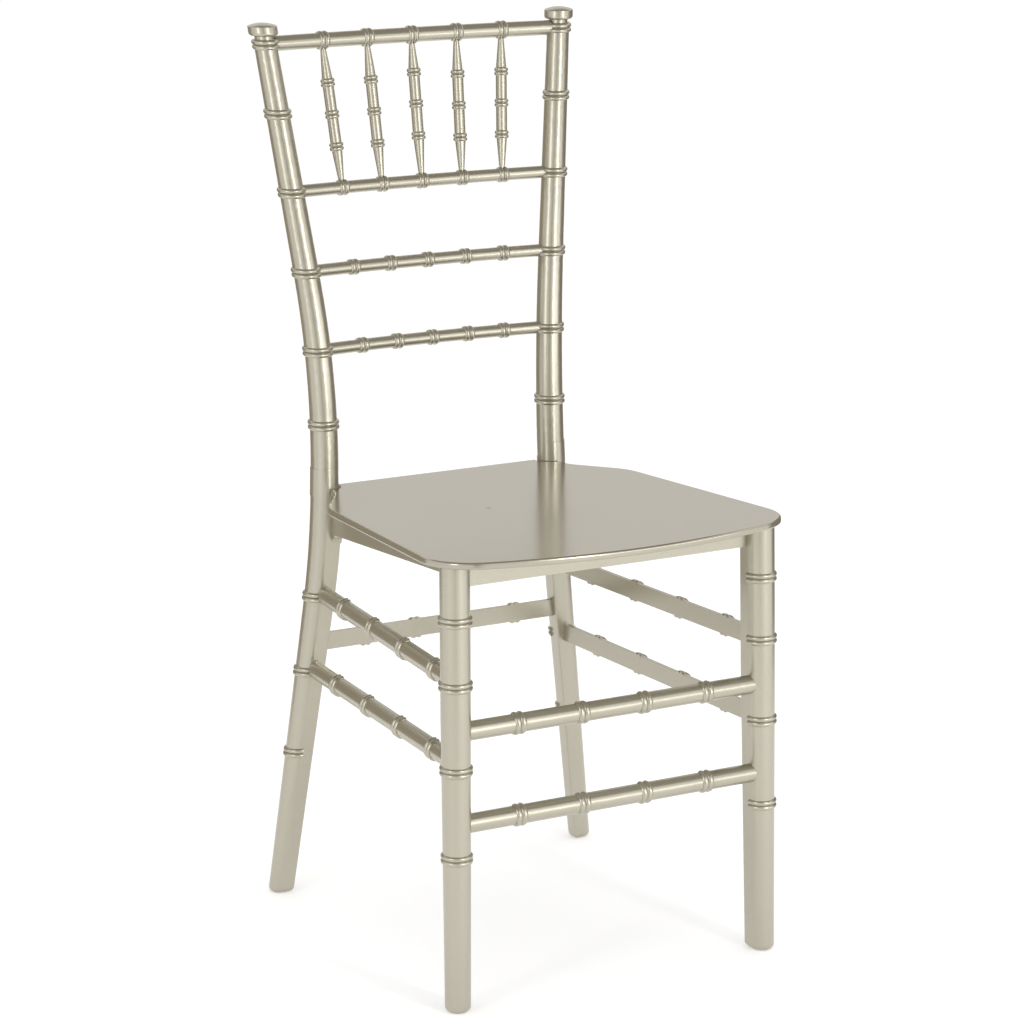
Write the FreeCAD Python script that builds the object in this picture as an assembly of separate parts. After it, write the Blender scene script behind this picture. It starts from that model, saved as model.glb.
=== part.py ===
import FreeCAD, Part

import math
import os

# A stacking-size chiavari chair in moulded resin, as separate members with blind joints.
# Millimetres. The origin is on the floor under the middle of the chair, +Z is up, the front faces -Y.
# Left and right are as seen from the front, with +X to the right.

V = FreeCAD.Vector
UP = V(0, 0, 1)

# Whole chair
chair_height = 920.0

# Rear posts: a straight lower run and a straight upper run joined by one gentle bend
rear_foot_x = 184.8
rear_foot_y = 196.5
post_bend_x = 123.8
post_bend_y = 167.4
post_bend_z = 488.0
post_top_x = 173.3
post_top_y = 228.3
post_bend_radius = 1120.0
rear_foot_radius = 11.7
rear_knee_radius = 14.0
rear_knee_z = 330.0
post_waist_radius = 14.7
post_top_radius = 11.6
crest_ring_spacing = 70.0
seat_ring_rise = 61.0
rear_leg_ring_heights = (327.0, 246.0, 157.0)
post_collar_proud = 0.6
post_collar_rise = 2.6
post_collar_outer_rise = 21.0
post_collar_outer_reach = 4.6

# Front legs: straight, splayed a little forwards and outwards at the floor
front_foot_x = 175.5
front_foot_y = -193.6
front_top_x = 171.4
front_top_y = -182.5
front_foot_radius = 12.8
front_leg_radius = 14.7
front_taper_z = 300.0
front_leg_ring_heights = (392.0, 328.0, 244.0, 156.0)

# Square inner corner of each leg and the rounding of the feet
leg_corner_round = 1.6
foot_round = 6.0

# Doubled bamboo rings: two round beads side by side, with a shallow step at their edges
bead_step = 0.4
post_ring_width = 10.0
post_ring_proud = 2.3
leg_ring_width = 9.8
leg_ring_proud = 2.1
rail_ring_width = 10.8
rail_ring_proud = 1.9
spindle_ring_width = 8.4
spindle_ring_proud = 1.6
stretcher_ring_width = 12.0
stretcher_ring_proud = 1.9

# Finials on the rear posts
finial_height = 12.8
finial_radius = 15.2
finial_dome_rise = 3.0
finial_rim_round = 1.3
finial_lip_round = 3.4
neck_height = 3.6
neck_radius = 9.8
spigot_radius = 3.6
spigot_length = 14.0

# Back rails, bowed backwards, and the share of the half width between their knuckles
crest_rail_drop = 21.5
crest_rail_radius = 7.8
crest_rail_bow = 8.9
back_rail_radius = 6.5
back_rail_bow = 7.6
upper_rail_spacing = 149.9
middle_rail_spacing = 81.8
lower_rail_spacing = 81.2
knuckle_share = 0.306
knuckle_count = 5
rail_tenon_radius = 4.4
rail_tenon_length = 5.5

# Spindles between the crest rail and the upper back rail
spindle_radius = 5.8
spindle_end_radius = 3.0
spindle_ring_shares = (0.287, 0.503, 0.722)
middle_spindle_lift = 0.031
spindle_pin_radius = 2.3
spindle_pin_length = 5.0

# Stretchers: a round bar cut flat on the inner side
stretcher_radius = 9.5
stretcher_flat = 2.0
stretcher_tenon_radius = 4.0
stretcher_tenon_length = 8.5
stretcher_tenon_margin = 0.7
front_stretcher_heights = (281.0, 188.5)
front_knuckle_spacing = 70.8
rear_stretcher_z = 276.5
rear_stretcher_inset = 5.0
rear_knuckle_spacing = 60.0
side_stretcher_heights = (329.0, 248.0)
side_stretcher_inset = 4.0
side_knuckle_spacing = 79.0
side_knuckle_offset = -10.0
stretcher_knuckles = 4

# Seat: a thin plate, tilted back, notched around the rear posts
seat_height = 448.0
seat_tilt = 1.83
seat_thickness = 7.0
seat_front_y = -244.0
seat_rear_overhang = 7.4
seat_front_half_width = 203.5
seat_rear_half_width = 178.6
seat_rear_corner_y = 82.5
seat_tongue_overhang = 1.2
seat_notch_depth = 37.0
seat_front_bow_radius = 515.0
seat_front_corner_round = 58.0
seat_rear_corner_round = 60.0
seat_notch_round = 50.0
seat_top_round = 2.4
seat_bottom_round = 2.0
post_hole_gap = 0.7

# Seat rails
rail_thickness = 11.0
front_rail_height = 24.0
rear_rail_height = 24.0
side_rail_front_height = 13.5
side_rail_rear_height = 42.5
side_rail_gusset = 9.0
rail_tenon_width = 5.5
rail_tenon_depth = 8.5
front_rail_tenon_height = 9.0
side_rail_tenon_height = 7.0
side_rail_rear_tenon_height = 14.0
tenon_shoulder = 1.2

# Corner blocks and their screws
block_leg = 38.0
block_thickness = 12.0
screw_radius = 2.0
screw_head_radius = 3.6
screw_head_height = 2.6
screw_grip = 7.0
screw_bite = 7.5
block_screw_reach = 25.0
seat_screw_inset = 10.5
seat_screw_bite = 4.4
counterbore_depth = 4.2
counterbore_radius = 4.3
driver_recess_radius = 1.6
driver_recess_depth = 1.4

# Clearances
seat_gap = 0.3
socket_gap = 0.15
shoulder_gap = 0.12
socket_end_gap = 0.4
screw_gap = 0.1

node_folder = "parts"

# Heights that follow from the sizes above
crest_rail_z = chair_height - crest_rail_drop
upper_back_rail_z = crest_rail_z - upper_rail_spacing
middle_back_rail_z = upper_back_rail_z - middle_rail_spacing
lower_back_rail_z = middle_back_rail_z - lower_rail_spacing
back_rail_heights = (upper_back_rail_z, middle_back_rail_z, lower_back_rail_z)
post_ring_heights = (crest_rail_z, crest_rail_z - crest_ring_spacing, *back_rail_heights,
                     seat_height + seat_ring_rise)


def lerp(low, high, share):
    return low + (high - low) * share


def post_line():
    """Foot, top and the tangent points of the bend of the right rear post."""
    foot = V(rear_foot_x, rear_foot_y, 0)
    bend = V(post_bend_x, post_bend_y, post_bend_z)
    top = V(post_top_x, post_top_y, chair_height)
    down = (foot - bend).normalize()
    along = (top - bend).normalize()
    half_turn = (math.pi - down.getAngle(along)) / 2
    reach = post_bend_radius * math.tan(half_turn)
    middle = (down + along).normalize()
    centre = bend + middle * (post_bend_radius / math.cos(half_turn))
    return foot, top, bend + down * reach, bend + along * reach, centre


def post_point(z):
    """Centre of the right rear post at a height."""
    foot, top, low, high, centre = post_line()
    if z <= low.z:
        return lerp_point(foot, low, z / low.z)
    if z >= high.z:
        return lerp_point(high, top, (z - high.z) / (top.z - high.z))
    a = low - centre
    b = high - centre
    turn = a.getAngle(b)
    across = (b - a * math.cos(turn)) * (1 / math.sin(turn))
    swing = math.hypot(a.z, across.z)
    angle = math.asin((z - centre.z) / swing) - math.atan2(a.z, across.z)
    return centre + a * math.cos(angle) + across * math.sin(angle)


def lerp_point(a, b, share):
    return a + (b - a) * share


def post_radius(z):
    if z < rear_knee_z:
        return lerp(rear_foot_radius, rear_knee_radius, z / rear_knee_z)
    if z < seat_height:
        return lerp(rear_knee_radius, post_waist_radius, (z - rear_knee_z) / (seat_height - rear_knee_z))
    return lerp(post_waist_radius, post_top_radius, (z - seat_height) / (chair_height - seat_height))


def post_direction(z):
    step = 1.0
    return (post_point(z + step) - post_point(z - step)).normalize()


def leg_point(z):
    """Centre of the right front leg at a height."""
    foot = V(front_foot_x, front_foot_y, 0)
    top = V(front_top_x, front_top_y, seat_height)
    return lerp_point(foot, top, z / seat_height)


def leg_radius(z):
    return lerp(front_foot_radius, front_leg_radius, min(1.0, z / front_taper_z))


def leg_direction(z):
    return (leg_point(z + 1) - leg_point(z)).normalize()


def round_section(centre, radius):
    return Part.Wire(Part.makeCircle(radius, centre, UP))


def cornered_section(centre, radius, side_x, side_y):
    """Three quarters of a circle with a square corner in the quadrant that side_x and side_y point to."""
    k = leg_corner_round
    bulge = radius * math.sqrt(0.5)
    inner = radius - k * (1 - math.sqrt(0.5))
    on_y = centre + V(0, side_y * radius, 0)
    on_x = centre + V(side_x * radius, 0, 0)
    far = centre - V(side_x * bulge, side_y * bulge, 0)
    corner_a = centre + V(side_x * radius, side_y * (radius - k), 0)
    corner_mid = centre + V(side_x * inner, side_y * inner, 0)
    corner_b = centre + V(side_x * (radius - k), side_y * radius, 0)
    edges = (
        Part.Arc(on_y, far, on_x).toShape(),
        Part.makeLine(on_x, corner_a),
        Part.Arc(corner_a, corner_mid, corner_b).toShape(),
        Part.makeLine(corner_b, on_y),
    )
    return Part.Wire(edges)


def straight_loft(sections):
    return Part.makeLoft(sections, True, True)


def curved_loft(sections):
    return Part.makeLoft(sections, True, False)


def heights(low, high, steps):
    return [lerp(low, high, i / steps) for i in range(steps + 1)]


def post_ledge_z():
    """The square corner of the rear leg ends just under the seat."""
    return seat_underside_z(post_point(seat_height).y + post_waist_radius) - seat_gap


def rear_leg_body(grow=0.0):
    _, _, low, _, _ = post_line()

    def section(z):
        return cornered_section(post_point(z), post_radius(z) + grow, -1, -1)

    straight = straight_loft([section(foot_round), section(low.z)])
    return straight.fuse(curved_loft([section(z) for z in heights(low.z, post_ledge_z(), 3)]))


def post_body(grow=0.0):
    _, _, _, high, _ = post_line()

    def section(z):
        return round_section(post_point(z), post_radius(z) + grow)

    straight = straight_loft([section(high.z), section(chair_height)])
    return straight.fuse(curved_loft([section(z) for z in heights(post_ledge_z(), high.z, 6)]))


def post_collar(grow=0.0):
    """A slightly larger round that carries the post up through the seat, higher on its outer side."""
    post = post_point(seat_height)
    over_seat = seat_plane_z(post.y - post_waist_radius)
    full = post_collar_proud + grow
    levels = heights(post_ledge_z(), over_seat + post_collar_outer_rise, 6)
    collar = straight_loft([round_section(post_point(z), post_radius(z) + full) for z in levels])
    size = 4 * post_waist_radius
    corner = V(post.x - post_collar_outer_reach - size, post.y - size / 2, over_seat + post_collar_rise)
    return collar.cut(Part.makeBox(size, size, size, corner))


def post_at_seat(gap):
    """The rear post as the pieces under the seat meet it, grown by a gap."""
    return [rear_leg_body(gap), post_body(gap), post_collar(gap)]


def front_leg_body(grow=0.0):
    stations = (foot_round, front_taper_z, seat_height + 20)
    return straight_loft([cornered_section(leg_point(z), leg_radius(z) + grow, -1, 1) for z in stations])


def bead_profile(radius, width, proud):
    """Two round beads side by side, standing on a short band that sinks into the body."""
    root = radius - 2.5
    skin = radius + bead_step
    half = width / 2
    a = V(skin, 0, -half)
    b = V(skin, 0, 0)
    c = V(skin, 0, half)
    edges = (
        Part.Arc(a, V(radius + proud, 0, -half / 2), b).toShape(),
        Part.Arc(b, V(radius + proud, 0, half / 2), c).toShape(),
        Part.makeLine(c, V(root, 0, half)),
        Part.makeLine(V(root, 0, half), V(root, 0, -half)),
        Part.makeLine(V(root, 0, -half), a),
    )
    return Part.Face(Part.Wire(edges))


def turned_ring(radius, width, proud, turn=360.0):
    return bead_profile(radius, width, proud).revolve(V(0, 0, 0), UP, turn)


def placed(shape, origin, along, outward):
    """Put a shape's own Z along a direction and its own X as near to outward as that allows."""
    z = V(along).normalize()
    x = (outward - z * outward.dot(z)).normalize()
    y = z.cross(x)
    copy = shape.copy()
    copy.Placement = FreeCAD.Placement(origin, FreeCAD.Rotation(x, y, z, "ZXY"))
    return copy


def leaning(shape, centre, direction):
    """Stand an upright shape on its place and slant it along a direction, with its sections kept level."""
    slant = FreeCAD.Matrix()
    slant.A13 = direction.x / direction.z
    slant.A23 = direction.y / direction.z
    slant.A14, slant.A24, slant.A34 = centre.x, centre.y, centre.z
    return shape.transformGeometry(slant)


def leg_ring(centre, direction, radius, width, proud, side_x, side_y):
    """A level ring around the round three quarters of a leg, ending where its flat faces begin."""
    ring = turned_ring(radius, width, proud, 270.0)
    if side_x * side_y < 0:
        ring = ring.mirror(V(0, 0, 0), V(0, 1, 0))
    return leaning(placed(ring, V(0, 0, 0), UP, V(0, side_y, 0)), centre, direction)


def mirrored(shape):
    return shape.mirror(V(0, 0, 0), V(1, 0, 0))


def rod(start, end, radius):
    return Part.makeCylinder(radius, (end - start).Length, start, end - start)


def arc_of_rail(z, bow):
    """Centre and radius of a back rail's bow, which passes through both posts."""
    end = post_point(z)
    radius = (end.x ** 2 + bow ** 2) / (2 * bow)
    return V(0, end.y + bow - radius, z), radius


def rail_point(z, bow, x):
    centre, radius = arc_of_rail(z, bow)
    return centre + V(x, math.sqrt(radius ** 2 - x ** 2), 0)


def bowed_rod(z, bow, radius, reach):
    """A rod along a back rail's bow, reaching as far to each side of the middle as reach."""
    centre, arc_radius = arc_of_rail(z, bow)
    half_angle = math.asin(reach / arc_radius)
    start = rail_point(z, bow, reach)
    face = Part.Face(Part.Wire(Part.makeCircle(radius, start, rail_tangent(z, bow, reach))))
    return face.revolve(centre, UP, math.degrees(2 * half_angle))


def rail_tangent(z, bow, x):
    centre, _ = arc_of_rail(z, bow)
    return UP.cross(rail_point(z, bow, x) - centre).normalize()


def knuckle_places(z):
    middle = (knuckle_count - 1) / 2
    return [(i - middle) * knuckle_share * post_point(z).x for i in range(knuckle_count)]


def tenon_reach(z):
    return post_point(z).x - post_radius(z) + rail_tenon_length


def rail_parts(z, bow, radius):
    """The rail's envelope, its rings and its tenons, before the posts cut it to length."""
    body = bowed_rod(z, bow, radius, post_point(z).x)
    rings = []
    for x in knuckle_places(z):
        ring = turned_ring(radius, rail_ring_width, rail_ring_proud)
        rings.append(placed(ring, rail_point(z, bow, x), rail_tangent(z, bow, x), UP))
    return body, rings


def spindle_ends(index):
    top_x = knuckle_places(crest_rail_z)[index]
    low_x = knuckle_places(upper_back_rail_z)[index]
    top = rail_point(crest_rail_z, crest_rail_bow, top_x)
    low = rail_point(upper_back_rail_z, back_rail_bow, low_x)
    return top, low


def spindle_axis(index):
    top, low = spindle_ends(index)
    down = (low - top).normalize()
    top_seat = top + down * (crest_rail_radius + rail_ring_proud + seat_gap)
    low_seat = low - down * (back_rail_radius + rail_ring_proud + seat_gap)
    return top_seat, low_seat, down


def spindle(index):
    """A turned spindle with tapered ends, three doubled rings and a pin at each end."""
    top, low = spindle_ends(index)
    top_seat, low_seat, down = spindle_axis(index)
    lift = middle_spindle_lift if index == knuckle_count // 2 else 0.0
    length = (low_seat - top_seat).Length
    rings = [(low - top).Length * (share - lift) - (top_seat - top).Length for share in spindle_ring_shares]
    outline = [
        V(0, 0, -spindle_pin_length),
        V(spindle_pin_radius, 0, -spindle_pin_length),
        V(spindle_pin_radius, 0, 0),
        V(spindle_end_radius, 0, 0),
        V(spindle_radius, 0, rings[0]),
        V(spindle_radius, 0, rings[-1]),
        V(spindle_end_radius, 0, length),
        V(spindle_pin_radius, 0, length),
        V(spindle_pin_radius, 0, length + spindle_pin_length),
        V(0, 0, length + spindle_pin_length),
    ]
    body = Part.Face(Part.makePolygon(outline + outline[:1])).revolve(V(0, 0, 0), UP, 360)
    for place in rings:
        ring = turned_ring(spindle_radius, spindle_ring_width, spindle_ring_proud)
        ring.translate(V(0, 0, place))
        body = body.fuse(ring)
    return placed(body, top_seat, down, V(0, -1, 0))


def spindle_sockets():
    sockets = []
    for index in range(knuckle_count):
        top_seat, low_seat, down = spindle_axis(index)
        depth = spindle_pin_length + socket_end_gap
        radius = spindle_pin_radius + socket_gap
        sockets.append(rod(top_seat + down, top_seat - down * depth, radius))
        sockets.append(rod(low_seat - down, low_seat + down * depth, radius))
    return sockets


def back_rail(z, bow, radius, sockets):
    body, rings = rail_parts(z, bow, radius)
    envelope = post_body(shoulder_gap)
    body = body.fuse(rings).cut([envelope, mirrored(envelope)])
    tenon = bowed_rod(z, bow, rail_tenon_radius, tenon_reach(z))
    body = body.fuse(tenon).removeSplitter()
    return body.cut(sockets) if sockets else body


def rail_socket(z, bow):
    return bowed_rod(z, bow, rail_tenon_radius + socket_gap, tenon_reach(z) + socket_end_gap)


def plain_bar(line, outward, grow=0.0, knuckles=()):
    """A bar between two leg centres, round on the outward side and flat on the inner one."""
    start, end = line
    length = (end - start).Length
    bar = Part.makeCylinder(stretcher_radius + grow, length)
    for place in knuckles:
        ring = turned_ring(stretcher_radius, stretcher_ring_width, stretcher_ring_proud)
        ring.translate(V(0, 0, length / 2 + place))
        bar = bar.fuse(ring)
    size = 4 * stretcher_radius
    inner = Part.makeBox(size, size, length, V(-size - stretcher_flat - grow, -size / 2, 0))
    return placed(bar.cut(inner), start, end - start, outward)


def knuckle_row(spacing, offset=0.0):
    middle = (stretcher_knuckles - 1) / 2
    return [(i - middle) * spacing + offset for i in range(stretcher_knuckles)]


def tenon_rods(line, outward, start_radius, end_radius, grow=0.0, deeper=0.0):
    """Round tenons at both ends of a stretcher, in the thick of its section, past the legs' faces."""
    start, end = line
    along = (end - start).normalize()
    out = stretcher_tenon_length + deeper
    root = stretcher_tenon_radius
    shift = outward * (stretcher_tenon_radius + stretcher_tenon_margin - stretcher_flat)
    near = start + along * start_radius + shift
    far = end - along * end_radius + shift
    radius = stretcher_tenon_radius + grow
    return [rod(near - along * out, near + along * root, radius),
            rod(far + along * out, far - along * root, radius)]


front_outward = V(0, -1, 0)
rear_outward = V(0, 1, 0)
side_outward = V(1, 0, 0)


def front_stretcher_line(z):
    right = leg_point(z)
    return V(-right.x, right.y, z), right


def rear_stretcher_line(z):
    right = post_point(z) - V(0, rear_stretcher_inset, 0)
    return V(-right.x, right.y, z), right


def side_stretcher_line(z):
    inset = V(side_stretcher_inset, 0, 0)
    return leg_point(z) - inset, post_point(z) - inset


def stretcher(line, outward, radii, knuckles, envelopes):
    bar = plain_bar(line, outward, 0.0, knuckles).cut(envelopes)
    bar = largest(bar)
    return bar.fuse(tenon_rods(line, outward, *radii)).removeSplitter()


def largest(shape):
    """The main solid of what a cut leaves, without the cut-off ends inside the legs."""
    return max(shape.Solids, key=lambda solid: solid.Volume)


def front_stretcher(z):
    envelope = front_leg_body(shoulder_gap)
    radii = (leg_radius(z), leg_radius(z))
    row = knuckle_row(front_knuckle_spacing)
    return stretcher(front_stretcher_line(z), front_outward, radii, row, [envelope, mirrored(envelope)])


def rear_stretcher():
    z = rear_stretcher_z
    envelope = rear_leg_body(shoulder_gap)
    radii = (post_radius(z), post_radius(z))
    row = knuckle_row(rear_knuckle_spacing)
    return stretcher(rear_stretcher_line(z), rear_outward, radii, row, [envelope, mirrored(envelope)])


def side_stretcher(z):
    envelopes = [front_leg_body(shoulder_gap), rear_leg_body(shoulder_gap)]
    row = knuckle_row(side_knuckle_spacing, side_knuckle_offset)
    radii = (leg_radius(z), post_radius(z))
    return stretcher(side_stretcher_line(z), side_outward, radii, row, envelopes)


def seat_plane_z(y):
    return seat_height - math.tan(math.radians(seat_tilt)) * y


def seat_underside_z(y):
    return seat_plane_z(y) - seat_thickness / math.cos(math.radians(seat_tilt))


def tilt_to_seat(shape):
    """Turn a shape drawn on the seat's own plane, top face at zero, into place."""
    copy = shape.copy()
    turn = FreeCAD.Rotation(V(1, 0, 0), -seat_tilt)
    copy.Placement = FreeCAD.Placement(V(0, 0, seat_height), turn).multiply(copy.Placement)
    return copy


def under_seat(shape, gap=0.0):
    """Cut off what would stand above the seat's underside."""
    size = 2 * chair_height
    room = Part.makeBox(size, size, size, V(-size / 2, -size / 2, -size - seat_thickness - gap))
    return shape.common(tilt_to_seat(room))


def edges_at(shape, x, y):
    """Upright edges of a plate at a place given for the right side, on both sides."""
    found = []
    for edge in shape.Edges:
        a, b = edge.Vertexes[0].Point, edge.Vertexes[-1].Point
        upright = abs(a.z - b.z) > seat_thickness / 2
        if upright and abs(abs(a.x) - x) < 1.0 and abs(a.y - y) < 1.0:
            found.append(edge)
    return found


def seat_panel():
    post = post_point(seat_height)
    rear_y = post.y + seat_rear_overhang
    tongue_x = post.x + seat_tongue_overhang
    notch_y = rear_y - seat_notch_depth
    right = [
        V(tongue_x, rear_y, 0),
        V(tongue_x, notch_y, 0),
        V(seat_rear_half_width, seat_rear_corner_y, 0),
        V(seat_front_half_width, seat_front_y, 0),
    ]
    left = [V(-p.x, p.y, 0) for p in reversed(right)]
    face = Part.Face(Part.makePolygon(right + left + right[:1]))
    plate = face.extrude(V(0, 0, -seat_thickness))
    bow_centre = V(0, seat_front_y + seat_front_bow_radius, -seat_thickness)
    plate = plate.common(Part.makeCylinder(seat_front_bow_radius, seat_thickness, bow_centre))
    front_corner = front_corner_place()
    for x, y, radius in (
        (front_corner.x, front_corner.y, seat_front_corner_round),
        (seat_rear_half_width, seat_rear_corner_y, seat_rear_corner_round),
        (tongue_x, notch_y, seat_notch_round),
    ):
        plate = plate.makeFillet(radius, edges_at(plate, x, y))
    hole_radius = post_radius(seat_height) + post_collar_proud + post_hole_gap
    for side in (-1, 1):
        bottom = V(side * post.x, post.y, -2 * seat_thickness)
        plate = plate.cut(Part.makeCylinder(hole_radius, 3 * seat_thickness, bottom))
    plate = plate.removeSplitter()
    top = [edge for edge in plate.Edges if all(abs(v.Z) < 0.01 for v in edge.Vertexes)]
    plate = plate.makeFillet(seat_top_round, top)
    low = [edge for edge in plate.Edges if all(abs(v.Z + seat_thickness) < 0.01 for v in edge.Vertexes)]
    plate = plate.makeFillet(seat_bottom_round, low)
    return tilt_to_seat(plate)


def front_corner_place():
    """Where the straight side of the seat meets the bowed front edge."""
    slope = (seat_front_half_width - seat_rear_half_width) / (seat_front_y - seat_rear_corner_y)
    centre_y = seat_front_y + seat_front_bow_radius
    offset = seat_rear_half_width + slope * (centre_y - seat_rear_corner_y)
    a = 1 + slope ** 2
    b = 2 * slope * offset
    c = offset ** 2 - seat_front_bow_radius ** 2
    down = (-b - math.sqrt(b ** 2 - 4 * a * c)) / (2 * a)
    return V(offset + slope * down, centre_y + down, 0)


def rail_plan():
    """Centre lines of the seat rails in plan, from the flat faces of the legs they land on."""
    leg = leg_point(seat_height)
    post = post_point(seat_height)
    half_leg = front_leg_radius / 2
    half_post = post_waist_radius / 2
    front_y = leg.y + half_leg
    rear_y = post.y - half_post
    side_front = V(leg.x - half_leg, leg.y, 0)
    side_rear = V(post.x - half_post, post.y, 0)
    return front_y, rear_y, side_front, side_rear


def cross_rail(y, height, half_length):
    """A seat rail across the chair, between the two inner flats at one end of the seat."""
    corner = V(-half_length, y - rail_thickness / 2, seat_underside_z(y) - height)
    return under_seat(Part.makeBox(2 * half_length, rail_thickness, height + 20, corner))


def cross_rail_tenons(y, height, face_x, tenon_height, grow=0.0, deeper=0.0):
    low = seat_underside_z(y) - height + tenon_shoulder - grow
    width = rail_tenon_width + 2 * grow
    reach = face_x + rail_tenon_depth + deeper
    root = face_x - 4
    boxes = []
    for start in (-reach, root):
        corner = V(start, y - width / 2, low)
        boxes.append(Part.makeBox(reach - root, width, tenon_height + 2 * grow, corner))
    return boxes


def front_face_x():
    return leg_point(seat_height).x - front_leg_radius


def rear_face_x():
    return post_point(seat_height).x - post_waist_radius


def front_seat_rail():
    y, _, _, _ = rail_plan()
    envelope = front_leg_body(shoulder_gap)
    body = cross_rail(y, front_rail_height, leg_point(seat_height).x)
    body = body.cut([envelope, mirrored(envelope)])
    body = largest(body)
    return body.fuse(cross_rail_tenons(y, front_rail_height, front_face_x(), front_rail_tenon_height))


def rear_seat_rail():
    _, y, _, _ = rail_plan()
    envelope = post_at_seat(shoulder_gap)
    body = cross_rail(y, rear_rail_height, post_point(seat_height).x)
    body = body.cut(envelope + [mirrored(part) for part in envelope])
    body = largest(body)
    return body.fuse(cross_rail_tenons(y, rear_rail_height, rear_face_x(), front_rail_tenon_height))


def side_rail_direction():
    _, _, front, rear = rail_plan()
    return (rear - front).normalize()


def side_rail_point(distance, z, offset=0.0):
    """A point on the side rail's centre plane, or beside it, from the distance behind the front leg."""
    _, _, front, _ = rail_plan()
    along = side_rail_direction()
    return front + along * distance + UP * z + UP.cross(along) * offset


def side_rail_block(half_thickness, outline):
    """A slab along the side rail's centre line from an outline of (distance, height) pairs."""
    points = [side_rail_point(d, z, -half_thickness) for d, z in outline]
    across = UP.cross(side_rail_direction())
    return Part.Face(Part.makePolygon(points + points[:1])).extrude(across * (2 * half_thickness))


def side_rail_gusset_slab():
    """The hollow curve with which the rail's lower edge runs down into the rear post."""
    face = side_rail_span() - post_waist_radius
    low = side_rail_rear_z()
    half = rail_thickness / 2
    r = side_rail_gusset
    corner = side_rail_point(face, low, -half)
    start = side_rail_point(face - r, low, -half)
    end = side_rail_point(face, low - r, -half)
    hub = side_rail_point(face - r, low - r, -half)
    middle = hub + (corner - hub).normalize() * r
    edges = [Part.Arc(start, middle, end).toShape()]
    inside = [end, side_rail_point(face + r, low - r, -half), side_rail_point(face + r, low + r, -half),
              side_rail_point(face - r, low + r, -half), start]
    edges += [Part.makeLine(a, b) for a, b in zip(inside, inside[1:])]
    return Part.Face(Part.Wire(edges)).extrude(UP.cross(side_rail_direction()) * rail_thickness)


def side_rail_front_z():
    return seat_underside_z(leg_point(seat_height).y) - side_rail_front_height


def side_rail_rear_z():
    return seat_underside_z(post_point(seat_height).y) - side_rail_rear_height


def side_rail_span():
    _, _, front, rear = rail_plan()
    return (rear - front).Length


def side_rail_tenons(grow=0.0, deeper=0.0):
    span = side_rail_span()
    out = rail_tenon_depth + deeper
    root = 4.0
    front_top = seat_underside_z(leg_point(seat_height).y) - tenon_shoulder - 1 + grow
    rear_low = side_rail_rear_z() + 3 * tenon_shoulder - grow
    front_low = front_top - side_rail_tenon_height - 2 * grow
    rear_top = rear_low + side_rail_rear_tenon_height + 2 * grow
    near = front_leg_radius
    far = span - post_waist_radius
    half = rail_tenon_width / 2 + grow
    ends = ((near - out, near + root, front_low, front_top), (far - root, far + out, rear_low, rear_top))
    return [side_rail_block(half, ((a, low), (b, low), (b, top), (a, top))) for a, b, low, top in ends]


def side_seat_rail():
    span = side_rail_span()
    over = seat_height + 2 * seat_thickness
    outline = ((0, side_rail_front_z()), (span, side_rail_rear_z()), (span, over), (0, over))
    body = side_rail_block(rail_thickness / 2, outline).fuse(side_rail_gusset_slab())
    body = under_seat(body)
    body = body.cut([front_leg_body(shoulder_gap)] + post_at_seat(shoulder_gap))
    body = largest(body)
    return body.fuse(side_rail_tenons())


def inner_corner(front):
    """Inner corner of two seat rails in plan, and the directions that run along them."""
    front_y, rear_y, side_front, _ = rail_plan()
    along = side_rail_direction()
    inward = V(-along.y, along.x, 0)
    y = front_y + rail_thickness / 2 if front else rear_y - rail_thickness / 2
    base = side_front + inward * (rail_thickness / 2)
    corner = base + along * ((y - base.y) / along.y)
    return corner, V(-1, 0, 0), along if front else along * -1


def block_body(front):
    corner, cross, side = inner_corner(front)
    points = [corner, corner + cross * block_leg, corner + side * block_leg]
    low = seat_underside_z(corner.y) - block_thickness
    points = [V(p.x, p.y, low) for p in points]
    prism = Part.Face(Part.makePolygon(points + points[:1])).extrude(V(0, 0, block_thickness + 20))
    leg = [front_leg_body(seat_gap)] if front else post_at_seat(seat_gap)
    return largest(under_seat(prism).cut(leg))


def block_screw_places(front):
    """Start of the thread and direction into the rail for the two rail screws and the seat screw."""
    corner, cross, side = inner_corner(front)
    z = seat_underside_z(corner.y) - block_thickness / 2
    into_cross = V(0, -1 if front else 1, 0)
    into_side = V(-side.y, side.x, 0)
    if into_side.x < 0:
        into_side = into_side * -1
    at_cross = corner + cross * block_screw_reach + V(0, 0, z)
    at_side = corner + side * block_screw_reach + V(0, 0, z)
    seat_spot = corner + (cross + side) * seat_screw_inset
    at_seat = V(seat_spot.x, seat_spot.y, seat_underside_z(seat_spot.y))
    seat_grip = block_thickness - counterbore_depth
    return [(at_cross, into_cross, screw_grip, screw_bite),
            (at_side, into_side, screw_grip, screw_bite),
            (at_seat, seat_normal(), seat_grip, seat_screw_bite)]


def seat_normal():
    angle = math.radians(seat_tilt)
    return V(0, math.sin(angle), math.cos(angle))


def screw(place, direction, grip, bite):
    """A pan head screw: its head bears on the block and its shank runs on past the joint by bite."""
    seat = place - direction * grip
    shank = rod(seat, place + direction * bite, screw_radius)
    head = rod(seat - direction * screw_head_height, seat, screw_head_radius)
    top = seat - direction * screw_head_height
    recess = rod(top, top + direction * driver_recess_depth, driver_recess_radius)
    return shank.fuse(head).cut(recess)


def screw_hole(place, direction, grip, bite):
    seat = place - direction * grip
    hole = rod(seat, place + direction * (bite + socket_end_gap), screw_radius + screw_gap)
    return hole.fuse(rod(seat - direction * 40, seat, counterbore_radius))


def corner_block(front):
    holes = [screw_hole(*place) for place in block_screw_places(front)]
    return block_body(front).cut(holes)


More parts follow.
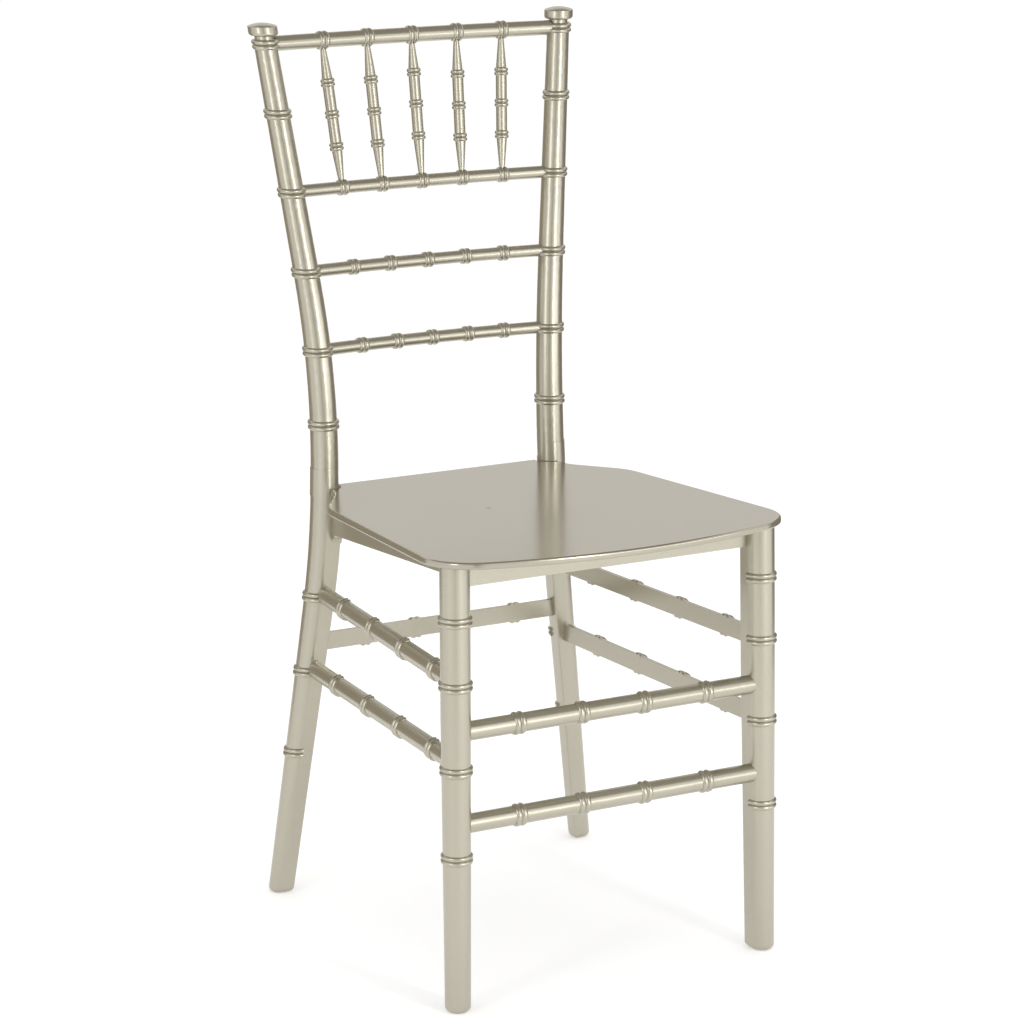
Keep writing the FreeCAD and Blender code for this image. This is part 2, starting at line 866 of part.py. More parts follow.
def finial_seat():
    """Centre of the joint between the post and the finial's neck, and the way the post leans there."""
    z = chair_height - finial_height - neck_height
    return post_point(z), post_direction(z)


def finial():
    """A flat domed cap on a short neck, with a spigot that goes down into the post."""
    rim = neck_height + finial_height - finial_dome_rise
    top = neck_height + finial_height
    dome_radius = (finial_radius ** 2 + finial_dome_rise ** 2) / (2 * finial_dome_rise)
    half_angle = math.asin(finial_radius / dome_radius) / 2
    mid = V(dome_radius * math.sin(half_angle), 0, top - dome_radius * (1 - math.cos(half_angle)))
    corners = [
        V(0, 0, top),
        V(0, 0, -spigot_length),
        V(spigot_radius, 0, -spigot_length),
        V(spigot_radius, 0, 0),
        V(neck_radius, 0, 0),
        V(neck_radius, 0, neck_height),
        V(finial_radius, 0, neck_height),
        V(finial_radius, 0, rim),
    ]
    edges = [Part.makeLine(a, b) for a, b in zip(corners, corners[1:])]
    edges.append(Part.Arc(corners[-1], mid, corners[0]).toShape())
    body = Part.Face(Part.Wire(edges)).revolve(V(0, 0, 0), UP, 360)
    for z, rounding in ((neck_height, finial_lip_round), (rim, finial_rim_round)):
        around = [edge for edge in body.Edges if abs(edge.BoundBox.ZMin - z) < 0.01
                  and abs(edge.BoundBox.ZMax - z) < 0.01 and edge.BoundBox.XMax > finial_radius - 0.01]
        body = body.makeFillet(rounding, around)
    return leaning(body, *finial_seat())


def finial_bore():
    depth = spigot_length + socket_end_gap
    bore = Part.makeCylinder(spigot_radius + socket_gap, depth + 1, V(0, 0, -depth))
    return leaning(bore, *finial_seat())


def post_cutters():
    """Everything that is bored or cut into the right rear post."""
    seat, _ = finial_seat()
    size = 8 * post_top_radius
    above = Part.makeBox(size, size, size, seat - V(size / 2, size / 2, 0))
    cutters = [finial_bore(), above, rail_socket(crest_rail_z, crest_rail_bow)]
    for z in back_rail_heights:
        cutters.append(rail_socket(z, back_rail_bow))
    for z in side_stretcher_heights:
        radii = (leg_radius(z), post_radius(z))
        cutters += tenon_rods(side_stretcher_line(z), side_outward, *radii, socket_gap, socket_end_gap)
    z = rear_stretcher_z
    radii = (post_radius(z), post_radius(z))
    cutters += tenon_rods(rear_stretcher_line(z), rear_outward, *radii, socket_gap, socket_end_gap)
    _, y, _, _ = rail_plan()
    height = front_rail_tenon_height
    cutters += cross_rail_tenons(y, rear_rail_height, rear_face_x(), height, socket_gap, socket_end_gap)
    cutters += side_rail_tenons(socket_gap, socket_end_gap)
    return cutters


def rear_post():
    """The right rear post: floor to neck, cornered below the seat and round above it."""
    rings = []
    size = (post_ring_width, post_ring_proud)
    for z in post_ring_heights:
        rings.append(leaning(turned_ring(post_radius(z), *size), post_point(z), post_direction(z)))
    for z in rear_leg_ring_heights:
        rings.append(leg_ring(post_point(z), post_direction(z), post_radius(z), *size, -1, -1))
    back_rails = [(crest_rail_z, crest_rail_bow, crest_rail_radius)]
    back_rails += [(z, back_rail_bow, back_rail_radius) for z in back_rail_heights]
    passing = [bowed_rod(z, bow, radius + socket_gap, post_point(z).x) for z, bow, radius in back_rails]
    for z in side_stretcher_heights:
        passing.append(plain_bar(side_stretcher_line(z), side_outward, socket_gap))
    passing.append(plain_bar(rear_stretcher_line(rear_stretcher_z), rear_outward, socket_gap))
    rings = [ring.cut(passing) for ring in rings]
    foot = rounded_foot(post_point, post_radius, -1)
    body = rear_leg_body().fuse([foot, post_body(), post_collar()] + rings)
    return body.cut(post_cutters())


def rounded_foot(point, radius, side_y):
    """The last few millimetres of a leg, drawn in along a quarter round."""
    sections = []
    for turn in (0, 22.5, 45, 67.5, 90):
        z = foot_round * (1 - math.cos(math.radians(turn)))
        drawn_in = foot_round * (1 - math.sin(math.radians(turn)))
        sections.append(cornered_section(point(z), radius(z) - drawn_in, -1, side_y))
    return curved_loft(sections)


def front_leg():
    size = (leg_ring_width, leg_ring_proud)
    rings = []
    for z in front_leg_ring_heights:
        rings.append(leg_ring(leg_point(z), leg_direction(z), leg_radius(z), *size, -1, 1))
    passing = []
    for z in front_stretcher_heights:
        passing.append(plain_bar(front_stretcher_line(z), front_outward, socket_gap))
    for z in side_stretcher_heights:
        passing.append(plain_bar(side_stretcher_line(z), side_outward, socket_gap))
    foot = rounded_foot(leg_point, leg_radius, 1)
    body = under_seat(front_leg_body()).fuse([foot] + [ring.cut(passing) for ring in rings])
    cutters = []
    for z in front_stretcher_heights:
        radii = (leg_radius(z), leg_radius(z))
        cutters += tenon_rods(front_stretcher_line(z), front_outward, *radii, socket_gap, socket_end_gap)
    for z in side_stretcher_heights:
        radii = (leg_radius(z), post_radius(z))
        cutters += tenon_rods(side_stretcher_line(z), side_outward, *radii, socket_gap, socket_end_gap)
    y, _, _, _ = rail_plan()
    height = front_rail_tenon_height
    cutters += cross_rail_tenons(y, front_rail_height, front_face_x(), height, socket_gap, socket_end_gap)
    cutters += side_rail_tenons(socket_gap, socket_end_gap)
    return body.cut(cutters)


def both_sides(name, shape, nodes):
    nodes[name + "_right"] = shape
    nodes[name + "_left"] = mirrored(shape)


def build():
    nodes = {}
    both_sides("rear_post", rear_post(), nodes)
    both_sides("front_leg", front_leg(), nodes)
    both_sides("finial", finial(), nodes)

    sockets = spindle_sockets()
    nodes["crest_rail"] = back_rail(crest_rail_z, crest_rail_bow, crest_rail_radius, sockets)
    nodes["upper_back_rail"] = back_rail(upper_back_rail_z, back_rail_bow, back_rail_radius, sockets)
    nodes["middle_back_rail"] = back_rail(middle_back_rail_z, back_rail_bow, back_rail_radius, [])
    nodes["lower_back_rail"] = back_rail(lower_back_rail_z, back_rail_bow, back_rail_radius, [])
    for index in range(knuckle_count):
        nodes["back_spindle_%d" % (index + 1)] = spindle(index)

    for place, z in zip(("upper", "lower"), front_stretcher_heights):
        nodes["front_stretcher_" + place] = front_stretcher(z)
    for place, z in zip(("upper", "lower"), side_stretcher_heights):
        both_sides("side_stretcher_" + place, side_stretcher(z), nodes)
    nodes["rear_stretcher"] = rear_stretcher()

    places = block_screw_places(True) + block_screw_places(False)
    holes = [screw_hole(*place) for place in places]
    holes += [mirrored(hole) for hole in holes]
    nodes["seat_panel"] = seat_panel().cut(holes)
    nodes["front_seat_rail"] = front_seat_rail().cut(holes)
    nodes["rear_seat_rail"] = rear_seat_rail().cut(holes)
    both_sides("side_seat_rail", side_seat_rail().cut(holes[:len(places)]), nodes)
    both_sides("front_corner_block", corner_block(True), nodes)
    both_sides("rear_corner_block", corner_block(False), nodes)

    screws = [screw(*place) for place in places]
    screws += [mirrored(one) for one in screws]
    seat_screws = [one for i, one in enumerate(screws) if i % 3 == 2]
    block_screws = [one for i, one in enumerate(screws) if i % 3 != 2]
    nodes["seat_screws"] = Part.makeCompound(seat_screws)
    nodes["block_screws"] = Part.makeCompound(block_screws)
    return nodes


def main():
    os.makedirs(node_folder, exist_ok=True)
    whole = Part.makeCompound([])
    for name, shape in build().items():
        if not shape.isValid():
            print("not valid:", name)
        shape.exportStep(os.path.join(node_folder, name + ".step"))
        whole.add(shape)
        print("%-28s solids %d  volume %8.1f cm3" % (name, len(shape.Solids), shape.Volume / 1000))
    box = whole.BoundBox
    print("box x %.1f %.1f  y %.1f %.1f" % (box.XMin, box.XMax, box.YMin, box.YMax))
    print("box z %.1f %.1f" % (box.ZMin, box.ZMax))


main()
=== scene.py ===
"""Chiavari chair in champagne resin: finishes, small moulded details, studio and camera."""

import math

import bmesh
import bpy
from mathutils import Matrix, Vector


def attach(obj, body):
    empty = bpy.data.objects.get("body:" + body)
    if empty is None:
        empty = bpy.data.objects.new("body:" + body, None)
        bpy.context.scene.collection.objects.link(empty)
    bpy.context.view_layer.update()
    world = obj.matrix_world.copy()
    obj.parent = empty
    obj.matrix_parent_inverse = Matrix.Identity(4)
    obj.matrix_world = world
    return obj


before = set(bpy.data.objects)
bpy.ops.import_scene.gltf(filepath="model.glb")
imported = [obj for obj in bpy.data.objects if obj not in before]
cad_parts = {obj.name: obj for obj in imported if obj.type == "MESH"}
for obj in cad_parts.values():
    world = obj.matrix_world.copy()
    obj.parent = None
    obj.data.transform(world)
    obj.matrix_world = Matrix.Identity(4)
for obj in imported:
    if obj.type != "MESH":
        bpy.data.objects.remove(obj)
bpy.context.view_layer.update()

bl_info = {
    "name": "Chiavari Chair",
    "version": (1, 0, 0),
    "blender": (4, 5, 0),
    "location": "View3D > Sidebar > Chair",
    "description": "Finishes, moulded details and studio for a champagne resin chiavari chair",
    "category": "Object",
}

MM = 0.001
BODY = "root"
SEAT_TILT = math.radians(1.83)
SEAT_HEIGHT = 0.448
SEAT_NODES = ("seat_panel",)
SCREW_NODES = ("seat_screws", "block_screws")

# Where the gate mark sits on the seat, how far it sinks in and how its rim is rounded
GATE_MARK_PLACE = (-0.040, -0.007)
GATE_MARK_ROOT = 0.2 * MM
GATE_MARK_BEVEL = 0.25 * MM
GATE_MARK_SIDES = 40

# Depth of the skin's relief and the gloss of its clear top layer
RELIEF_DEPTH = 0.4 * MM
COAT_ROUGHNESS = 0.16

# Share of the steel's colour that is left between its grains
STEEL_SHADE = 0.8

# The picture's width and the camera's focal length in pixels, and the sensor's width in mm
PICTURE_WIDTH = 1024.0
FOCAL_PIXELS = 3461.1
SENSOR_WIDTH = 36.0

# Where the camera stands, how far it is turned and tipped, and how far it sees
CAMERA_PLACE = (-1.6507, -2.9839, 1.2865)
CAMERA_YAW = math.radians(28.82)
CAMERA_PITCH = math.radians(13.98)
CAMERA_REACH = 100.0

# How far the floor reaches to each side, its colour, and how much it glows for the camera
FLOOR_REACH = 18.0
FLOOR_COLOUR = (0.80, 0.80, 0.80, 1.0)
FLOOR_LIFT = 0.37

# How strongly the surroundings light the chair, and the colours of the room, flags and backdrop
WORLD_LEVEL = 0.80
WHITE = (1.0, 1.0, 1.0, 1.0)
FLAG_TINT = (1.0, 0.84, 0.62, 1.0)
BACKDROP_TINT = (1.0, 0.975, 0.93, 1.0)


class ChairSettings(bpy.types.PropertyGroup):
    """Sizes and colours of the finishes and the moulded details."""

    resin_colour: bpy.props.FloatVectorProperty(
        name="Resin colour", description="Champagne colour of the legs, rails and spindles",
        subtype="COLOR", size=3, min=0.0, max=1.0, default=(0.495, 0.47, 0.385))
    resin_shade: bpy.props.FloatVectorProperty(
        name="Resin shade", description="Warmer, darker colour between the flakes of the finish",
        subtype="COLOR", size=3, min=0.0, max=1.0, default=(0.385, 0.345, 0.26))
    seat_colour: bpy.props.FloatVectorProperty(
        name="Seat colour", description="Champagne colour of the seat",
        subtype="COLOR", size=3, min=0.0, max=1.0, default=(0.455, 0.425, 0.345))
    seat_shade: bpy.props.FloatVectorProperty(
        name="Seat shade", description="Darker colour between the flakes of the seat",
        subtype="COLOR", size=3, min=0.0, max=1.0, default=(0.37, 0.335, 0.26))
    steel_colour: bpy.props.FloatVectorProperty(
        name="Screw colour", description="Zinc plated steel of the screws",
        subtype="COLOR", size=3, min=0.0, max=1.0, default=(0.62, 0.62, 0.60))
    flake_size: bpy.props.FloatProperty(
        name="Flake size", description="Width of the metallic flakes in the finish",
        subtype="DISTANCE", default=0.45 * MM, min=0.1 * MM, max=3 * MM)
    ripple_size: bpy.props.FloatProperty(
        name="Ripple size", description="Width of the faint ripples left by the mould",
        subtype="DISTANCE", default=7 * MM, min=1 * MM, max=50 * MM)
    gate_mark_diameter: bpy.props.FloatProperty(
        name="Gate mark diameter", description="Small round mark on the seat where the resin came in",
        subtype="DISTANCE", default=4.6 * MM, min=1 * MM, max=12 * MM)
    gate_mark_height: bpy.props.FloatProperty(
        name="Gate mark height", description="How far the gate mark stands above the seat",
        subtype="DISTANCE", default=0.3 * MM, min=0.05 * MM, max=2 * MM)
    lamp_level: bpy.props.FloatProperty(
        name="Lamp level", description="Brightness of the soft studio lamps", default=1.0, min=0.1, max=4.0)
    flag_level: bpy.props.FloatProperty(
        name="Flag level", description="Brightness of the dark flags that the resin reflects",
        default=0.20, min=0.0, max=1.0)
    left_flag_level: bpy.props.FloatProperty(
        name="Left flag level", description="Brightness of the flag on the left, which is paler",
        default=0.36, min=0.0, max=1.0)
    backdrop_level: bpy.props.FloatProperty(
        name="Backdrop level", description="Brightness of the pale sheet behind that the seat reflects",
        default=0.78, min=0.0, max=1.0)


def new_material(name):
    material = bpy.data.materials.new(name)
    material.use_nodes = True
    material.node_tree.nodes.clear()
    return material, material.node_tree


def add_node(tree, kind, place, **values):
    node = tree.nodes.new(kind)
    node.location = place
    for key, value in values.items():
        setattr(node, key, value)
    return node


def flake_group():
    """Colour, roughness and height of a resin skin with fine metallic flakes and faint mould ripples."""
    if "Metallic flake skin" in bpy.data.node_groups:
        return bpy.data.node_groups["Metallic flake skin"]
    group = bpy.data.node_groups.new("Metallic flake skin", "ShaderNodeTree")
    ports = group.interface
    for name, kind, default in (
        ("Light Colour", "NodeSocketColor", (0.6, 0.56, 0.46, 1)),
        ("Dark Colour", "NodeSocketColor", (0.45, 0.40, 0.30, 1)),
        ("Flake Scale", "NodeSocketFloat", 2200.0),
        ("Ripple Scale", "NodeSocketFloat", 140.0),
        ("Roughness", "NodeSocketFloat", 0.33),
        ("Roughness Spread", "NodeSocketFloat", 0.06),
    ):
        ports.new_socket(name=name, in_out="INPUT", socket_type=kind).default_value = default
    ports.new_socket(name="Colour", in_out="OUTPUT", socket_type="NodeSocketColor")
    for name in ("Roughness", "Height"):
        ports.new_socket(name=name, in_out="OUTPUT", socket_type="NodeSocketFloat")
    link = group.links.new
    start = add_node(group, "NodeGroupInput", (-1100, 0))
    end = add_node(group, "NodeGroupOutput", (700, 0))
    place = add_node(group, "ShaderNodeTexCoord", (-1100, -300))
    flakes = add_node(group, "ShaderNodeTexVoronoi", (-820, 200), feature="F1")
    link(place.outputs["Object"], flakes.inputs["Vector"])
    link(start.outputs["Flake Scale"], flakes.inputs["Scale"])
    ripples = add_node(group, "ShaderNodeTexNoise", (-820, -120))
    ripples.inputs["Detail"].default_value = 3.0
    link(place.outputs["Object"], ripples.inputs["Vector"])
    link(start.outputs["Ripple Scale"], ripples.inputs["Scale"])
    clouds = add_node(group, "ShaderNodeTexNoise", (-820, -420))
    clouds.inputs["Scale"].default_value = 9.0
    clouds.inputs["Detail"].default_value = 4.0
    link(place.outputs["Object"], clouds.inputs["Vector"])
    split = add_node(group, "ShaderNodeSeparateColor", (-600, 200))
    link(flakes.outputs["Color"], split.inputs["Color"])
    glint = add_node(group, "ShaderNodeMapRange", (-400, 220))
    glint.inputs["To Min"].default_value = 0.72
    glint.inputs["To Max"].default_value = 1.0
    link(split.outputs["Red"], glint.inputs["Value"])
    patch = add_node(group, "ShaderNodeMapRange", (-600, -420))
    patch.inputs["From Min"].default_value = 0.35
    patch.inputs["From Max"].default_value = 0.65
    patch.inputs["To Min"].default_value = 0.88
    patch.inputs["To Max"].default_value = 1.0
    link(clouds.outputs["Fac"], patch.inputs["Value"])
    tone = add_node(group, "ShaderNodeMath", (-200, 160), operation="MULTIPLY")
    link(glint.outputs["Result"], tone.inputs[0])
    link(patch.outputs["Result"], tone.inputs[1])
    colour = add_node(group, "ShaderNodeMix", (60, 160), data_type="RGBA")
    link(tone.outputs["Value"], colour.inputs["Factor"])
    link(start.outputs["Dark Colour"], colour.inputs["A"])
    link(start.outputs["Light Colour"], colour.inputs["B"])
    link(colour.outputs["Result"], end.inputs["Colour"])
    uneven = add_node(group, "ShaderNodeMath", (-200, -60), operation="SUBTRACT")
    uneven.inputs[1].default_value = 0.5
    link(ripples.outputs["Fac"], uneven.inputs[0])
    rough = add_node(group, "ShaderNodeMath", (60, -60), operation="MULTIPLY_ADD")
    link(uneven.outputs["Value"], rough.inputs[0])
    link(start.outputs["Roughness Spread"], rough.inputs[1])
    link(start.outputs["Roughness"], rough.inputs[2])
    link(rough.outputs["Value"], end.inputs["Roughness"])
    height = add_node(group, "ShaderNodeMath", (60, -260), operation="MULTIPLY_ADD")
    height.inputs[1].default_value = 0.12
    link(split.outputs["Green"], height.inputs[0])
    link(ripples.outputs["Fac"], height.inputs[2])
    link(height.outputs["Value"], end.inputs["Height"])
    return group


def resin_material(name, light, dark, roughness, metallic, coat, bump):
    """Satin moulded resin with a metallic champagne skin."""
    settings = bpy.context.scene.chair
    material, tree = new_material(name)
    skin = add_node(tree, "ShaderNodeGroup", (-500, 0), node_tree=flake_group())
    skin.inputs["Light Colour"].default_value = (*light, 1)
    skin.inputs["Dark Colour"].default_value = (*dark, 1)
    skin.inputs["Flake Scale"].default_value = 1 / settings.flake_size
    skin.inputs["Ripple Scale"].default_value = 1 / settings.ripple_size
    skin.inputs["Roughness"].default_value = roughness
    relief = add_node(tree, "ShaderNodeBump", (-220, -260))
    relief.inputs["Strength"].default_value = bump
    relief.inputs["Distance"].default_value = RELIEF_DEPTH
    shader = add_node(tree, "ShaderNodeBsdfPrincipled", (40, 0))
    shader.inputs["Metallic"].default_value = metallic
    shader.inputs["Coat Weight"].default_value = coat
    shader.inputs["Coat Roughness"].default_value = COAT_ROUGHNESS
    out = add_node(tree, "ShaderNodeOutputMaterial", (360, 0))
    tree.links.new(skin.outputs["Colour"], shader.inputs["Base Color"])
    tree.links.new(skin.outputs["Roughness"], shader.inputs["Roughness"])
    tree.links.new(skin.outputs["Height"], relief.inputs["Height"])
    tree.links.new(relief.outputs["Normal"], shader.inputs["Normal"])
    tree.links.new(shader.outputs["BSDF"], out.inputs["Surface"])
    return material


def steel_material():
    """Zinc plated steel with a fine grain."""
    settings = bpy.context.scene.chair
    material, tree = new_material("screw_steel")
    skin = add_node(tree, "ShaderNodeGroup", (-500, 0), node_tree=flake_group())
    skin.inputs["Light Colour"].default_value = (*settings.steel_colour, 1)
    skin.inputs["Dark Colour"].default_value = (*[STEEL_SHADE * c for c in settings.steel_colour], 1)
    skin.inputs["Flake Scale"].default_value = 3000.0
    skin.inputs["Ripple Scale"].default_value = 900.0
    skin.inputs["Roughness"].default_value = 0.3
    shader = add_node(tree, "ShaderNodeBsdfPrincipled", (40, 0))
    shader.inputs["Metallic"].default_value = 1.0
    out = add_node(tree, "ShaderNodeOutputMaterial", (360, 0))
    tree.links.new(skin.outputs["Colour"], shader.inputs["Base Color"])
    tree.links.new(skin.outputs["Roughness"], shader.inputs["Roughness"])
    tree.links.new(shader.outputs["BSDF"], out.inputs["Surface"])
    return material


def give(piece, material):
    piece.data.materials.clear()
    piece.data.materials.append(material)


def mesh_piece(name, shape, material):
    mesh = bpy.data.meshes.new(name)
    bmesh.ops.recalc_face_normals(shape, faces=shape.faces[:])
    shape.to_mesh(mesh)
    shape.free()
    piece = bpy.data.objects.new(name, mesh)
    bpy.context.scene.collection.objects.link(piece)
    piece.data.materials.append(material)
    return piece


def seat_point(x, y):
    """A point on the top of the tilted seat."""
    return Vector((x, y, SEAT_HEIGHT - math.tan(SEAT_TILT) * y))


class CHAIR_OT_frame_finish(bpy.types.Operator):
    """Give the posts, legs, rails, spindles and blocks their champagne resin"""

    bl_idname = "chair.frame_finish"
    bl_label = "Frame finish"

    def execute(self, context):
        settings = context.scene.chair
        colours = (settings.resin_colour, settings.resin_shade)
        resin = resin_material("frame_resin", *colours, roughness=0.30, metallic=0.80, coat=0.20, bump=0.03)
        for name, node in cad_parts.items():
            if name not in SEAT_NODES + SCREW_NODES:
                give(node, resin)
        return {"FINISHED"}


class CHAIR_OT_seat_finish(bpy.types.Operator):
    """Give the seat its smoother resin"""

    bl_idname = "chair.seat_finish"
    bl_label = "Seat finish"

    def execute(self, context):
        settings = context.scene.chair
        colours = (settings.seat_colour, settings.seat_shade)
        resin = resin_material("seat_resin", *colours, roughness=0.19, metallic=0.75, coat=0.25, bump=0.015)
        for name in SEAT_NODES:
            give(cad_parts[name], resin)
        return {"FINISHED"}


class CHAIR_OT_gate_mark(bpy.types.Operator):
    """Add the small round mark on the top of the seat, in the seat's own resin"""

    bl_idname = "chair.gate_mark"
    bl_label = "Gate mark"

    def execute(self, context):
        settings = context.scene.chair
        radius = settings.gate_mark_diameter / 2
        rise = settings.gate_mark_height + GATE_MARK_ROOT
        shape = bmesh.new()
        bmesh.ops.create_circle(shape, cap_ends=True, segments=GATE_MARK_SIDES, radius=radius)
        top = bmesh.ops.extrude_face_region(shape, geom=shape.faces[:])
        raised = [v for v in top["geom"] if isinstance(v, bmesh.types.BMVert)]
        bmesh.ops.translate(shape, verts=raised, vec=(0, 0, rise))
        rim = [edge for edge in shape.edges if all(v in raised for v in edge.verts)]
        bmesh.ops.bevel(shape, geom=rim, offset=GATE_MARK_BEVEL, segments=3, profile=0.5, affect="EDGES",
                        material=-1)
        place = Matrix.Translation(seat_point(*GATE_MARK_PLACE) - Vector((0, 0, GATE_MARK_ROOT)))
        bmesh.ops.transform(shape, matrix=place @ Matrix.Rotation(-SEAT_TILT, 4, "X"), verts=shape.verts[:])
        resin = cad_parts["seat_panel"].data.materials[0]
        mark = mesh_piece("gate_mark", shape, resin)
        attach(mark, BODY)
        return {"FINISHED"}


class CHAIR_OT_screw_finish(bpy.types.Operator):
    """Give the screws their plated steel"""

    bl_idname = "chair.screw_finish"
    bl_label = "Screw finish"

    def execute(self, context):
        steel = steel_material()
        for name in SCREW_NODES:
            give(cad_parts[name], steel)
        return {"FINISHED"}


def background_rays(tree, x, y):
    """One for the rays that see the background: the camera's, reflected and transmitted ones."""
    path = add_node(tree, "ShaderNodeLightPath", (x, y))
    direct = add_node(tree, "ShaderNodeMath", (x + 200, y), operation="MAXIMUM")
    every = add_node(tree, "ShaderNodeMath", (x + 380, y), operation="MAXIMUM")
    tree.links.new(path.outputs["Is Camera Ray"], direct.inputs[0])
    tree.links.new(path.outputs["Is Glossy Ray"], direct.inputs[1])
    tree.links.new(direct.outputs["Value"], every.inputs[0])
    tree.links.new(path.outputs["Is Transmission Ray"], every.inputs[1])
    return every.outputs["Value"]


def floor_material():
    """Pale floor that reads white to the camera and in reflections and still takes the chair's shadow."""
    material, tree = new_material("studio_floor")
    lift = add_node(tree, "ShaderNodeMath", (-40, 200), operation="MULTIPLY")
    lift.inputs[1].default_value = FLOOR_LIFT
    glow = add_node(tree, "ShaderNodeEmission", (140, 160))
    matte = add_node(tree, "ShaderNodeBsdfDiffuse", (140, 0))
    matte.inputs["Color"].default_value = FLOOR_COLOUR
    both = add_node(tree, "ShaderNodeAddShader", (340, 100))
    out = add_node(tree, "ShaderNodeOutputMaterial", (540, 100))
    link = tree.links.new
    link(background_rays(tree, -600, 200), lift.inputs[0])
    link(lift.outputs["Value"], glow.inputs["Strength"])
    link(glow.outputs["Emission"], both.inputs[0])
    link(matte.outputs["BSDF"], both.inputs[1])
    link(both.outputs["Shader"], out.inputs["Surface"])
    return material


def studio_world():
    """White surroundings for the camera and the reflections, a little dimmer where they light the chair."""
    world = bpy.data.worlds.new("studio")
    world.use_nodes = True
    tree = world.node_tree
    tree.nodes.clear()
    level = add_node(tree, "ShaderNodeMapRange", (0, 100))
    level.inputs["To Min"].default_value = WORLD_LEVEL
    level.inputs["To Max"].default_value = 1.0
    room = add_node(tree, "ShaderNodeBackground", (220, 100))
    out = add_node(tree, "ShaderNodeOutputWorld", (440, 100))
    tree.links.new(background_rays(tree, -600, 200), level.inputs["Value"])
    tree.links.new(level.outputs["Result"], room.inputs["Strength"])
    tree.links.new(room.outputs["Background"], out.inputs["Surface"])
    room.inputs["Color"].default_value = WHITE
    return world


def flag_material(name, tint, level):
    """Even cloth of the flags, which shines at a level of its own."""
    material, tree = new_material(name)
    cloth = add_node(tree, "ShaderNodeEmission", (0, 0))
    cloth.inputs["Color"].default_value = tint
    cloth.inputs["Strength"].default_value = level
    out = add_node(tree, "ShaderNodeOutputMaterial", (200, 0))
    tree.links.new(cloth.outputs["Emission"], out.inputs["Surface"])
    return material


def flag(name, place, target, width, height, material):
    """A sheet beside the set that only the reflections see."""
    shape = bmesh.new()
    bmesh.ops.create_grid(shape, x_segments=1, y_segments=1, size=0.5)
    bmesh.ops.scale(shape, vec=(width, height, 1), verts=shape.verts[:])
    aim = (Vector(target) - Vector(place)).to_track_quat("-Z", "Y").to_matrix().to_4x4()
    bmesh.ops.transform(shape, matrix=Matrix.Translation(place) @ aim, verts=shape.verts[:])
    sheet = mesh_piece(name, shape, material)
    sheet.visible_camera = False
    sheet.visible_diffuse = False
    sheet.visible_shadow = False
    sheet.visible_transmission = False


def around(turn, reach, height):
    """A place around the chair, its turn counted in degrees from the camera towards the picture's right."""
    towards = Vector((-math.sin(CAMERA_YAW), -math.cos(CAMERA_YAW), 0))
    aside = Vector((math.cos(CAMERA_YAW), -math.sin(CAMERA_YAW), 0))
    angle = math.radians(turn)
    return (towards * math.cos(angle) + aside * math.sin(angle)) * reach + Vector((0, 0, height))


def soft_lamp(name, place, target, width, height, watts):
    lamp = bpy.data.lights.new(name, "AREA")
    lamp.shape = "RECTANGLE"
    lamp.size = width
    lamp.size_y = height
    lamp.energy = watts
    holder = bpy.data.objects.new(name, lamp)
    bpy.context.scene.collection.objects.link(holder)
    holder.location = place
    holder.rotation_euler = (Vector(target) - Vector(place)).to_track_quat("-Z", "Y").to_euler()


def lay_floor():
    shape = bmesh.new()
    bmesh.ops.create_grid(shape, x_segments=1, y_segments=1, size=FLOOR_REACH)
    floor = mesh_piece("floor", shape, floor_material())


def hang_lamps(level):
    """Two upright strips beside the camera, a low wide one on the right and a soft one overhead."""
    aim = (0, 0, 1.3)
    soft_lamp("right_lamp", around(41, 2.5, 1.3), aim, width=0.32, height=1.8, watts=14 * level)
    soft_lamp("left_lamp", around(-38, 2.6, 1.3), aim, width=0.45, height=1.8, watts=9 * level)
    soft_lamp("low_lamp", around(58, 2.6, 0.55), (0, 0, 0.40), width=2.4, height=0.5, watts=8 * level)
    soft_lamp("top_lamp", (0.2, 0.3, 3.0), (0, 0, 0.5), width=1.6, height=1.6, watts=9 * level)


def hang_flags(settings):
    """Dark cloths that give the resin its darker edges, and the pale sheet that the seat reflects."""
    cloth = flag_material("studio_flag", FLAG_TINT, settings.flag_level)
    pale_cloth = flag_material("studio_pale_flag", FLAG_TINT, settings.left_flag_level)
    backdrop = flag_material("studio_backdrop", BACKDROP_TINT, settings.backdrop_level)
    flag("left_flag", around(-128, 1.3, 0.55), (0, 0, 0.55), width=1.5, height=1.1, material=pale_cloth)
    flag("right_flag", around(128, 1.3, 0.55), (0, 0, 0.55), width=1.5, height=1.1, material=cloth)
    flag("front_flag", around(3, 2.7, 1.0), (0, 0, 1.0), width=0.55, height=2.0, material=cloth)
    flag("back_flag", around(180, 3.0, 0.95), (0, 0, 0.95), width=6.0, height=1.9, material=backdrop)
    flag("ceiling_flag", (0, 0, 2.3), (0, 0.001, 0), width=3.6, height=3.6, material=cloth)


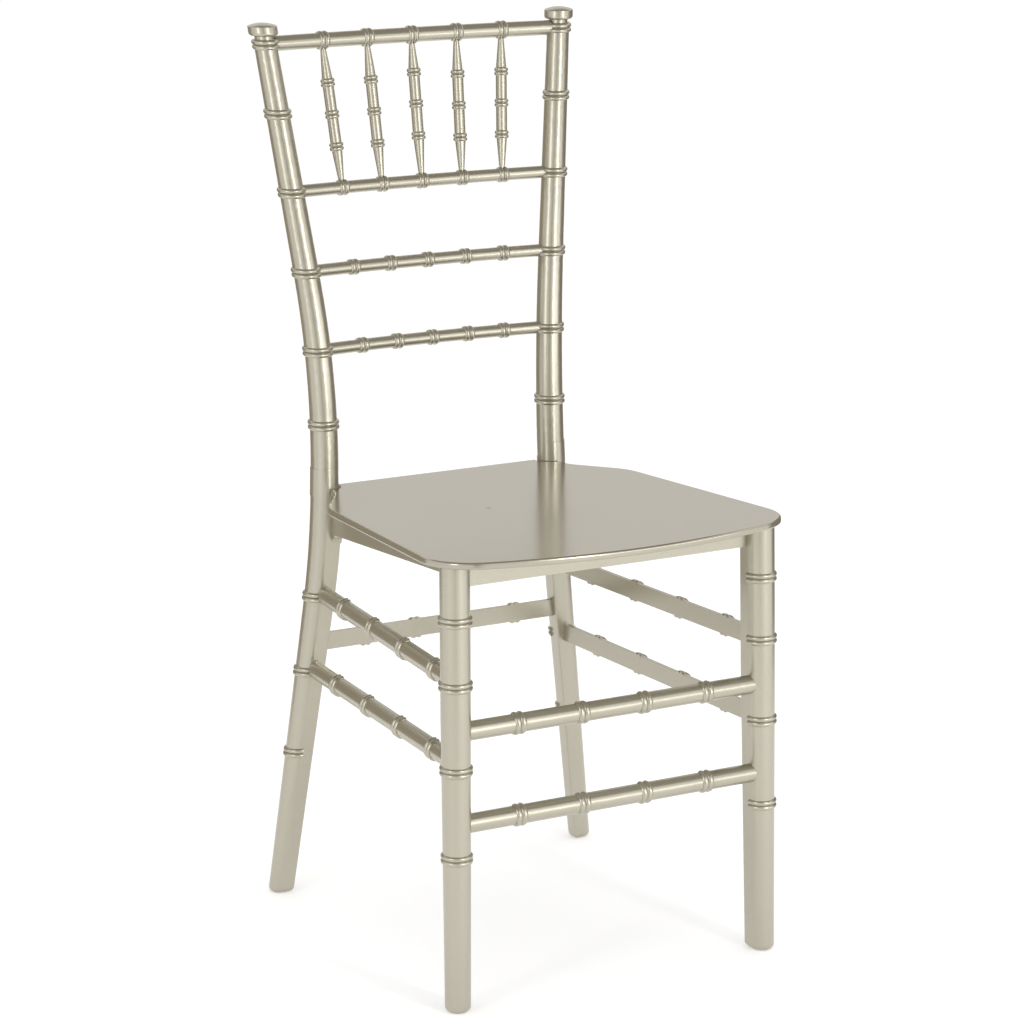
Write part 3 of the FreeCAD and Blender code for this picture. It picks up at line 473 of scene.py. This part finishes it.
def place_camera(scene):
    lens = bpy.data.cameras.new("camera")
    lens.sensor_width = SENSOR_WIDTH
    lens.lens = SENSOR_WIDTH * FOCAL_PIXELS / PICTURE_WIDTH
    lens.clip_end = CAMERA_REACH
    camera = bpy.data.objects.new("camera", lens)
    scene.collection.objects.link(camera)
    camera.location = CAMERA_PLACE
    level = math.cos(CAMERA_PITCH)
    look = Vector((math.sin(CAMERA_YAW) * level, math.cos(CAMERA_YAW) * level, -math.sin(CAMERA_PITCH)))
    camera.rotation_euler = look.to_track_quat("-Z", "Y").to_euler()
    scene.camera = camera


class CHAIR_OT_stage(bpy.types.Operator):
    """Set up the pale floor, the soft lamps, the flags, the surroundings and the camera"""

    bl_idname = "chair.stage"
    bl_label = "Stage"

    def execute(self, context):
        scene = context.scene
        lay_floor()
        hang_lamps(scene.chair.lamp_level)
        hang_flags(scene.chair)
        scene.world = studio_world()
        scene.view_settings.view_transform = "Standard"
        place_camera(scene)
        return {"FINISHED"}


class CHAIR_PT_panel(bpy.types.Panel):
    """Lists the chair's settings and steps"""

    bl_idname = "CHAIR_PT_panel"
    bl_label = "Chair"
    bl_space_type = "VIEW_3D"
    bl_region_type = "UI"
    bl_category = "Chair"

    def draw(self, context):
        column = self.layout.column()
        for name in ChairSettings.__annotations__:
            column.prop(context.scene.chair, name)
        for step in STEPS:
            column.operator(step.bl_idname)


STEPS = (CHAIR_OT_frame_finish, CHAIR_OT_seat_finish, CHAIR_OT_gate_mark, CHAIR_OT_screw_finish,
         CHAIR_OT_stage)
CLASSES = (ChairSettings, *STEPS, CHAIR_PT_panel)


def register():
    for one in CLASSES:
        bpy.utils.register_class(one)
    bpy.types.Scene.chair = bpy.props.PointerProperty(type=ChairSettings)


def unregister():
    del bpy.types.Scene.chair
    for one in reversed(CLASSES):
        bpy.utils.unregister_class(one)


def main():
    register()
    bpy.ops.chair.frame_finish()
    bpy.ops.chair.seat_finish()
    bpy.ops.chair.gate_mark()
    bpy.ops.chair.screw_finish()
    bpy.ops.chair.stage()


if __name__ == "__main__":
    main()
